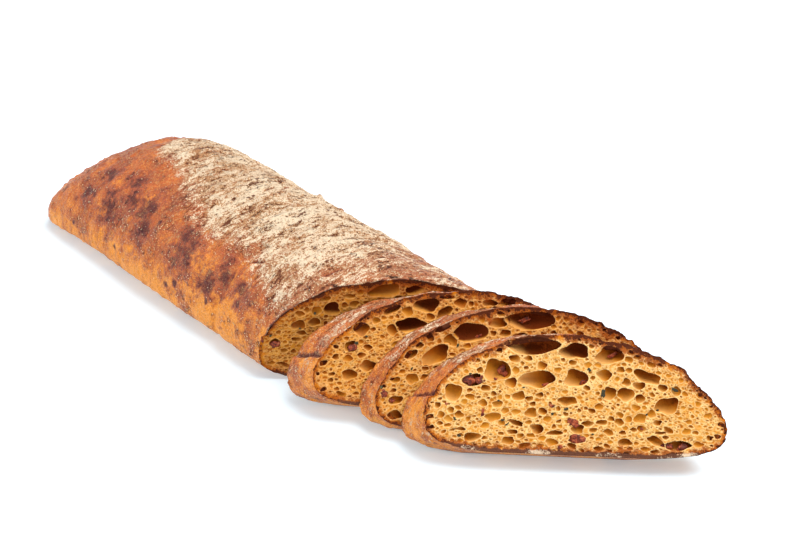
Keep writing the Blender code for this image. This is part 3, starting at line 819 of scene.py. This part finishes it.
def crumb_finish():
    material, place, shader = new_finish("open_crumb")
    fine = place.speckle(1500, 2, 0.6)
    medium = place.speckle(380, 3, 0.6)
    broad = place.speckle(70, 2, 0.5)
    cells = place.node("TexVoronoi", {"feature": "F1"}, {"Vector": place, "Scale": 850})
    hole_shade, wall, shade, tint = place.marks("hole_shade", "wall", "shade", "tint")
    warm_shade, in_sole, edge, rind = place.marks("warm_shade", "sole", "edge", "rind")
    gold = (0.7 * broad + 0.3 * medium).eased(-0.14, 0.06)
    # Painted shade in small pinholes that exist only in colour and bump
    pinhole_shade = (1 - cells.eased(0.12, 0.3)) * (medium + 0.6 * broad).eased(0.02, 0.08)
    inside_rind = edge - rind + 7 * medium + 5 * fine
    rich = 1 - (inside_rind + 18 * broad - 2 * warm_shade).eased(1, 13)
    near_crust = 1 - (inside_rind + 8 * broad - 2 * warm_shade).eased(0, 4.5)
    # Painted shade in hollows and pits, deeper on pieces that stand in shade
    depth = hole_shade * (1 + 0.65 * warm_shade) + 0.22 * medium + 0.08 * warm_shade
    # Painted shade inside the bubbles
    cave_shade = (shade * (1 + 0.3 * warm_shade) + 0.1 * tint + 0.4 * medium).eased(0.08, 0.8)
    toasted = 1 - inside_rind.eased(-0.3, 2)
    line = 1 - (inside_rind + 0.45 * rind).eased(-0.5, 0.35)
    sole = in_sole * (1 - (edge + 3 * medium).eased(1.5, 2.2))
    underneath = (medium + fine + 3 * broad).eased(0.15, 0.5).blend(SOLE_MAUVE, SOLE_FLOUR)
    colour = gold.blend(CRUMB_CREAM, CRUMB_GOLD).coated(
        (pinhole_shade * 0.5 * (1 - wall) * (1 - hole_shade), CRUMB_AMBER_SHADE),
        # Painted shade: a deeper amber over the whole cut of a piece that stands in shade
        (warm_shade * 0.75, CRUMB_WARM_SHADE),
        (rich * 0.85, CRUMB_RICH),
        (near_crust * 0.9, CRUMB_TOAST),
        (depth.eased(0.05, 0.5) * 0.9, CRUMB_HONEY_SHADE),
        ((depth * (0.9 + 0.25 * tint)).eased(0.32, 0.88) * 0.95, CRUMB_AMBER_SHADE),
        # Pale thin walls, partly painted highlight
        (wall * (1 - 0.7 * hole_shade) * (0.9 - 0.58 * warm_shade), CRUMB_PALE_HIGHLIGHT),
        (cave_shade * 0.94, CRUMB_CAVE_SHADE),
        (toasted * 0.85, TOAST_BROWN),
        (line * 0.88, CRUST_LINE),
        (sole * 0.95, underneath),
    )
    height = medium * 0.5 + fine * 0.3 - pinhole_shade * 0.5 + near_crust * (fine + 0.5)
    dress(shader, colour, 0.72 + 0.2 * medium - 0.15 * hole_shade, 0.03, height, 0.0006, 0.8)
    return material


open_crumb = crumb_finish()
cut_angles = spread_angles(*CUT_COLUMNS, 1 / math.cos(CUT_BIAS))
# A cut's axes, in rows: along its width, into the bread and up
bias_sine, bias_cosine = math.sin(CUT_BIAS), math.cos(CUT_BIAS)
CUT_AXES = np.array(((bias_sine, bias_cosine, 0), (-bias_cosine, bias_sine, 0), (0, 0, 1)))


def to_cut(points, station):
    """From the frame with the loaf's cut at X = 0 to the axes of a cut at `station`."""
    return (points - (station, 0, 0)) @ CUT_AXES.T


def cut_face(rim, rings, given, seed, deepest, warm_shade_share, inward=1, crowding=1, gloomy=GLOOMY):
    """A cut with all its bubbles, inside a rim."""
    disc, edge = cut_disc(rim, rings)
    bubbles = foam(disc[-1], given, seed, crowding)
    return open_bubbles(disc, edge, bubbles, inward, deepest, seed + 1, warm_shade_share, gloomy)


def dressed_skin(stations, angles, extra=(0, 0, 0)):
    """The skin of a slice at a row of stations with its fine relief, and its marks."""
    base = skin(stations[:, None], angles[None, :], 1, extra)
    place = base.copy()
    place[..., 0] = stations[:, None]
    up_share = np.clip(base[..., 2] / LOAF_HEIGHT, 0, 1)
    flour, dark = crust_marks(place, up_share)
    relief, lifted = crust_relief(place, flour, dark)
    share_across, share_up = section(angles)
    out = np.stack((np.cos(angles) * LOAF_HEIGHT * 0.6, np.sin(angles) * HALF_WIDTH), axis=-1)
    out /= np.linalg.norm(out, axis=-1, keepdims=True)
    relief = relief * eased(base[..., 2], 0.2 * MM, 3 * MM)
    across = relief * out[:, 0]
    base[..., 0] += across * math.tan(CUT_BIAS)
    base[..., 1] += across
    base[..., 2] += relief * out[:, 1]
    ridge = eased(up_share, 0.55, 0.85) * eased(fine_noise(place, 6, 83), -0.35, 0.25)
    dusted = 0.13 + 0.5 * ridge * eased(-base[..., 1], -30 * MM, 10 * MM)
    flour = np.maximum(flour * (0.35 + 0.65 * ridge), dusted)
    return base, {"flour": flour, "dark": dark, "lifted": lifted, "rise": 0.25 + 0.65 * up_share}


loaf_rim, _ = dressed_skin(np.array((0.0,)), cut_angles)
disc, marks = cut_face(to_cut(loaf_rim[0], 0), CUT_RINGS, LOAF_BUBBLES, 5, LOAF_DEEPEST, 1)
along_skin = np.array((-math.tan(CUT_BIAS), 1, 0)) * MM
# What closes the piece behind the cut: the size of each row and how deep it lies, in millimetres
CUT_SKIRT = ((0.96, 1.5), (0.85, 9), (0, 9))
skirt = [shrunk(disc[-1], share, deep * along_skin) for share, deep in CUT_SKIRT]
crumb = np.concatenate((disc, *skirt)) @ CUT_AXES + ROW_SHIFT
closed_piece("loaf_crumb", crumb, with_rows(marks, 3), "spine", "pole", open_crumb, "loaf")

# Slices
# Three slices of the same loaf, cut one after the other and leaning back against its end. Each has the
# loaf's crust round it and a cut on both faces.
# Thickness, lean, turn, tilt, what is added on the left, the right and the top, and how much painted warm
# shade the crumb gets
SLICES = {
    "slice_1": (19.2 * MM, 29, 1, 0.3, (1.8 * MM, 0, -0.5 * MM), 0.8),
    "slice_2": (11.6 * MM, 29.3, 1.4, 1.2, (-0.5 * MM, -0.6 * MM, 2.2 * MM), 0.6),
    "slice_3": (16.4 * MM, 35.4, 4.2, -0.5, (-4.5 * MM, 1.8 * MM, -0.5 * MM), 0),
}
SKIN_STEP = 0.62 * MM
BACK_RINGS = 26
BACK_CROWDING = 0.4
DEEPEST_SHARE = 0.38  # how deep a slice's bubbles may go, for its thickness
SLICE_INSET = 1.2  # how far inside the faces the hidden walls start, in millimetres
RAGGED = ((9, 0.8), (3.1, 0.7), (1.4, 0.4))  # the rind's torn edge: size of its lumps and their height
SLICE_BUBBLES = {
    "slice_1": (
        (-17.9, 48.4, 12, 6.7, 0), (-25.5, 39, 15.3, 6.6, 0), (-48.8, 37.2, 8, 6.4, 30),
        (-7.9, 52, 8, 2, 0), (-9.2, 45, 9.3, 4.2, 30), (-34.2, 36.8, 5.3, 5.3, 0),
        (-53.8, 28.9, 6.6, 5.3, 30), (-45.8, 28.5, 4, 3.3, 0), (-45.8, 19.9, 8, 5.3, 0),
        (-54.6, 15.6, 7.3, 5.3, 0), (20.4, 49.5, 8.6, 4, 0), (12, 49.5, 7, 3.3, 0), (-34.5, 46, 9, 3.4, 25),
        (-41.8, 41.2, 4, 3.3, 0), (8, 33, 9, 6, 0), (34, 32, 11, 6, -15),
    ),
    "slice_2": (
        (-24.2, 46.4, 15.7, 9.4, 0), (3.8, 51.6, 22.9, 8.6, 0), (-41, 36, 15.1, 7.2, 29),
        (-33.6, 42.9, 6.4, 6.2, 0), (-52.4, 36.4, 6.6, 3.9, 29), (-37, 48.6, 8.5, 2.8, 29),
        (-11.3, 50.8, 9.2, 4.6, 0), (-59.9, 24.6, 5.2, 2.9, 0), (-52, 25.2, 5.9, 5.2, 0),
        (-65, 18.6, 3.6, 2, 0), (-43.4, 44.3, 3.9, 4.2, 0), (22, 40, 12, 7, -12), (-8, 32, 8, 5, 0),
        (40, 26, 9, 6, 0),
    ),
    "slice_3": (
        (-16.7, 49.3, 22.7, 8.6, 2), (2.5, 47.5, 12.8, 7.5, 2), (18.5, 46.2, 12.3, 8.4, 2),
        (-32.5, 37.3, 11.4, 10.9, 2), (-14.1, 34.1, 15.8, 7.9, 2), (3.6, 35.1, 10.3, 8.4, 2),
        (-52.1, 26.4, 8.9, 7.4, 32), (-22.2, 25.9, 5.9, 4.4, 27), (16.3, 37.2, 7.4, 4.9, 2),
        (19, 28.8, 5.9, 6.4, 2), (26.4, 28.7, 7.6, 6.4, 2), (32.9, 27, 4.4, 4.4, 2),
        (45.1, 24.3, 10.8, 7.8, 22), (0, 24.5, 8.8, 4.4, 2), (-11.2, 19.4, 4.4, 3.4, 2),
        (-23.2, 13.7, 7.9, 2.5, -13), (-5.2, 9.7, 7.4, 2.5, 2), (16, 15.4, 5.4, 2.7, 2),
        (9.7, 14.6, 5.9, 2.7, 2), (-43.7, 32.4, 9.9, 5.5, 12), (23.6, 39.8, 3.9, 3, 2),
        (-17.2, 24.9, 3.9, 2.5, 2), (-12.7, 26.7, 3.9, 2.5, 2), (-37.3, 28.9, 4.9, 3, 2),
        (-53, 18.3, 3.5, 3, 2), (-57.4, 16, 3.5, 3.5, 2), (-48.2, 9.9, 4.9, 1.8, 2),
        (23.8, 16, 4.4, 3.4, 2), (42.4, 11.7, 5.4, 1.5, 2), (35.8, 37, 12.7, 5.6, -18),
        (-24.6, 9.5, 4.9, 2.5, 2), (50.4, 6.3, 12, 4.6, 2), (4.9, 7.3, 8.8, 3.6, 2),
    ),
}


def turned(degrees, axis):
    return Matrix.Rotation(math.radians(-degrees), 3, axis)


def make_slice(name, cut_from, behind, seed):
    """Makes a slice from where its back was cut, and returns where its front was."""
    thickness, lean, turn, tilt, extra, warm_shade_share = SLICES[name]
    front = cut_from + thickness / bias_cosine
    pose = turned(turn, "Z") @ Matrix(CUT_AXES.T.tolist()) @ turned(lean, "X") @ turned(tilt, "Y")
    pose = np.array(pose)
    rings = np.linspace(cut_from, front, 4)[:, None]
    solid = to_cut(skin(rings, solid_angles[None, :], 1, extra), front) @ pose.T
    place = packed_place(name, solid)
    POSES[name] = (pose, place)
    stations = np.linspace(front, cut_from, round((front - cut_from) / SKIN_STEP) + 1)
    crust, dressing = dressed_skin(stations, cut_angles, extra)
    # Darker crust on the top right near the front cut: partly charred crust, partly painted shade on flakes
    # seen at a grazing angle
    charred_and_shaded = eased(crust[..., 1], -12 * MM, 14 * MM) * eased(dressing["rise"], 0.45, 0.7)
    charred_and_shaded *= 1 - 0.7 * eased((front - stations)[:, None], 0, 6 * MM)
    dressing["flour"] *= 1 - charred_and_shaded
    dressing["dark"] = np.maximum(dressing["dark"], charred_and_shaded)
    ragged = sum(high * fine_noise(crust, size, seed + step) for step, (size, high) in enumerate(RAGGED, 9))
    ragged = ragged * (0.3 + eased(crust[..., 1], -10 * MM, 20 * MM)) * eased(crust[..., 2], 1 * MM, 6 * MM)
    crust[..., 1:] += 0.5 * MM * ragged[..., None]
    crust = to_cut(crust, front)
    crust[0, :, 1] = 0
    crust[-1, :, 1] = thickness
    deepest = DEEPEST_SHARE * thickness / MM
    face, marks = cut_face(crust[0], CUT_RINGS, SLICE_BUBBLES[name], seed, deepest, warm_shade_share)
    rim = crust[-1]
    back, back_marks = cut_face(rim, BACK_RINGS, behind, seed + 2, deepest, warm_shade_share, -1, BACK_CROWDING, 0)
    inset = SLICE_INSET * along_skin
    wall = (shrunk(face[-1], 0.92, inset), shrunk(back[-1], 0.92, -inset))
    crumb = np.concatenate((face, *wall, back[::-1])) @ pose.T + place
    marks = with_rows(marks, len(wall))
    marks = {label: np.concatenate((rows, back_marks[label][::-1])) for label, rows in marks.items()}
    closed_piece(name + "_crumb", crumb, marks, "spine", "spine", open_crumb, name)
    inner = (shrunk(crust[-1], 0.955, -inset), shrunk(crust[0], 0.955, inset))
    crust = np.concatenate((crust, *inner, crust[:1])) @ pose.T + place
    dressing = with_rows(dressing, len(inner))
    dressing = {label: np.concatenate((rows, rows[:1])) for label, rows in dressing.items()}
    closed_piece(name + "_crust", crust, dressing, "ring", "ring", baked_crust, name)
    return front


POSES = {"loaf": (CUT_AXES.T, ROW_SHIFT)}
cut_from = 0
behind = LOAF_BUBBLES
for number, name in enumerate(SLICES):
    cut_from = make_slice(name, cut_from, behind, 20 + 10 * number)
    behind = SLICE_BUBBLES[name]

# Tomato and herbs
# Bits of dried tomato and flecks of herb were kneaded into the dough. They are torn, leathery lumps and
# crisp dark leaves, and the knife left them flush with the cuts or standing in the bubbles.
# Each is across, up, width, height, tilt and how far its middle lies under the cut, in millimetres
TOMATO = {
    "loaf": (
        (-60.9, 19.4, 6, 4, 10, 1.2), (-67, 22.4, 1.6, 3, 10, 0.3), (-8, 17, 5, 3.2, 40, 0.6),
        (10, 40, 3.6, 2.6, 20, 0.5), (30, 24, 4.4, 3, -30, 0.5),
    ),
    "slice_1": (
        (-53, 28.6, 6, 3.6, 40, 1.2), (-47.4, 40.6, 2.2, 1.6, 0, 0.8), (-39, 17.6, 4.6, 4, 30, 1.4),
        (2, 18, 6, 3.6, -15, 0.7), (34, 20, 4, 3, 10, 0.5),
    ),
    "slice_2": (
        (-65.4, 18.6, 4.2, 4.4, 0, 0.8), (-61.6, 15.2, 3, 1.8, 0, 0.8), (-20.5, 44.5, 3.2, 2.4, 20, 3),
        (1, 52, 5, 2.6, 10, 2.6), (18, 14, 6, 4, 20, 0.7),
    ),
    "slice_3": (
        (-44.6, 32.2, 5.4, 4.6, 20, 1.4), (-39.6, 32.8, 4.6, 3.8, -20, 0.7), (-30.2, 37.6, 4.2, 5.6, 30, 3),
        (-10.2, 31.6, 3.4, 2, 10, 1.6), (7.2, 33, 4.6, 3.4, 25, 2.4), (3.2, 14.4, 5.6, 4.4, 20, 0.4),
        (5.4, 8, 7.4, 3.6, 0, 1), (-2.4, 3.6, 4, 2.4, 0, 0.6), (-38.3, 18, 1.3, 3.8, -12, 0.2),
        (-7.1, 22.2, 2.6, 1.5, -20, 0.2), (45.4, 6, 5.4, 3, 8, 1.4), (52.9, 6, 5.6, 3.4, 0, 1.6),
        (-55, 21, 1.8, 1.6, 0, 0.3), (-33, 33.4, 1.6, 1.2, 0, 0.3), (20, 47, 4.4, 2, 30, 3.2),
        (34, 13.4, 1.6, 1.2, 0, 0.2),
    ),
}
HERBS = {
    "loaf": ((-63, 24.6, 1.4, 1, 40, 0.2), (-48.5, 28.5, 1.2, 0.8, 0, 0.2), (-41, 37, 1.2, 1.6, 0, 0.3)),
    "slice_1": (
        (-51, 30.6, 1.8, 1.4, 30, 0.2), (-46.4, 33.8, 1.2, 0.9, 10, 0.2), (-38, 18.9, 1.6, 1, 0, 0.2),
        (-27, 31, 1.2, 1, 60, 0.2), (12, 26, 1.8, 1, 20, 0.2),
    ),
    "slice_2": (
        (-30.3, 40.5, 1.8, 1.4, 40, 0.4), (-66.4, 21.4, 1.8, 1.4, 0, 0.1), (-52, 30, 1.3, 0.9, 30, 0.2),
        (-16, 38, 1.4, 1, 0, 0.2), (26, 22, 1.8, 1.1, 0, 0.2),
    ),
    "slice_3": (
        (16.2, 28.9, 1.9, 3.4, -15, 0.1), (9.4, 39.4, 1.5, 2, 30, 0.2), (48.3, 31.8, 3.4, 1.3, -20, 0.1),
        (-0.4, 21.1, 2.2, 1.1, 10, 0.1), (-6.5, 18.6, 1.3, 1.1, 0, 0.1), (-50.9, 14.5, 1.6, 1.5, 0, 0.2),
        (-48.7, 6.8, 1.7, 1.2, 0, 0.2), (-27, 12.9, 2.6, 0.9, 40, 0.2), (-29, 14.8, 1.6, 1.1, 10, 0.1),
        (-31.2, 23.5, 1.3, 0.9, 0, 0.1), (-44.6, 35.2, 1.2, 0.9, 0, 0.1), (23.6, 25, 1.2, 1.4, 0, 0.6),
        (41, 22, 1.5, 1, 40, 1.2), (-20, 30, 1.1, 0.8, 0, 0.1), (36, 20, 1.2, 0.8, 20, 0.1),
        (12, 10, 1.2, 0.8, 20, 0.1),
    ),
}
TOMATO_RED = (0.32, 0.048, 0.012)
TOMATO_MAUVE = (0.46, 0.14, 0.05)
TOMATO_DARK = (0.1, 0.014, 0.005)
HERB_GREEN = (0.135, 0.12, 0.045)
HERB_BLACK = (0.036, 0.03, 0.013)
BIT_PROUD = 0.1  # millimetres that a bit may stand out of its cut


def bit_finish(name, pale, middle, dark, rough):
    material, place, shader = new_finish(name)
    broad = place.speckle(420, 3, 0.6)
    fine = place.speckle(1500, 2, 0.6)
    colour = (broad + 0.5 * fine).eased(-0.08, 0.08).blend(dark, middle)
    colour = colour.coated(((broad + 0.6 * fine).eased(0.08, 0.22), pale))
    dress(shader, colour, rough + 0.3 * fine, 0.3, broad + 0.4 * fine, 0.0006, 0.8)
    return material


def crumb_bits(name, spots, levels, material, node, seed):
    """Torn lumps set into a cut, all those of one bread in one piece."""
    pose, place = POSES[node]
    bm = bmesh.new()
    for number, (x, z, wide, high, tilt, under) in enumerate(spots):
        half = (wide / 2.2, min(wide, high) / 4.2, high / 2.2)
        for vert in bmesh.ops.create_icosphere(bm, subdivisions=levels, radius=1)["verts"]:
            field = vert.co + Vector((number * 5.1, seed, 0))
            swell = 1.1 + 0.9 * noise.noise(field * 1.1) - 0.5 * abs(noise.noise(field * 2.4))
            spot = turned(tilt, "Y") @ (Vector(np.multiply(vert.co, half)) * swell) + Vector((x, under, z))
            spot.y = max(spot.y, -BIT_PROUD)
            vert.co = Vector(pose @ np.array(spot) * MM + place)
    bmesh.ops.recalc_face_normals(bm, faces=bm.faces)
    mesh = bpy.data.meshes.new(name)
    bm.to_mesh(mesh)
    bm.free()
    hand_over(name, mesh, material, node)


dried_tomato = bit_finish("dried_tomato", TOMATO_MAUVE, TOMATO_RED, TOMATO_DARK, 0.5)
dried_herb = bit_finish("dried_herb", HERB_GREEN, HERB_BLACK, HERB_BLACK, 0.7)
for number, node in enumerate(TOMATO):
    crumb_bits(node + "_tomato", TOMATO[node], 4, dried_tomato, node, 3 + number)
    crumb_bits(node + "_herbs", HERBS[node], 3, dried_herb, node, 11 + number)

# Floor and light
# A white table under soft light: a broad lamp above the right side of the loaf, a paler one low down on
# its left, and white all round.
FLOOR_SIZE = 6
FLOOR_DROP = 0.05 * MM
AMBIENT = 0.56
FLOOR_GLOW = 0.27

bm = bmesh.new()
drop = Matrix.Translation((0, 0, -FLOOR_DROP))
bmesh.ops.create_grid(bm, x_segments=1, y_segments=1, size=FLOOR_SIZE, matrix=drop)
floor_mesh = bpy.data.meshes.new("floor")
bm.to_mesh(floor_mesh)
bm.free()
white, _, white_shader = new_finish("white_table")
for socket, value in (
    ("Base Color", (0.66, 0.8, 0.9, 1)),
    ("Roughness", 0.8),
    ("Emission Color", (1, 1, 1, 1)),
    ("Emission Strength", FLOOR_GLOW),
):
    white_shader.inputs[socket].default_value = value
floor_mesh.materials.append(white)
add_object("floor", floor_mesh)

# Two round lamps: name, place, target, width, power and colour
for name, place, target, size, power, colour in (
    ("window", (0.3, 0.46, 1.3), (0, 0, 0), 1.5, 29.5, (1, 0.99, 0.97)),
    ("fill", (-0.6, -1.5, 0.55), (0, 0, 0.03), 0.9, 15, (1, 1, 1)),
):
    lamp = add_object(name, bpy.data.lights.new(name, "AREA"))
    lamp.data.shape = "DISK"
    lamp.data.size = size
    lamp.data.energy = power
    lamp.data.color = colour
    lamp.location = place
    lamp.rotation_euler = (Vector(target) - Vector(place)).to_track_quat("-Z", "Y").to_euler()

world = bpy.data.worlds.new("white_room")
world.use_nodes = True
world.node_tree.nodes["Background"].inputs["Color"].default_value = (1, 1, 1, 1)
world.node_tree.nodes["Background"].inputs["Strength"].default_value = AMBIENT
scene.world = world
scene.view_settings.view_transform = "Standard"
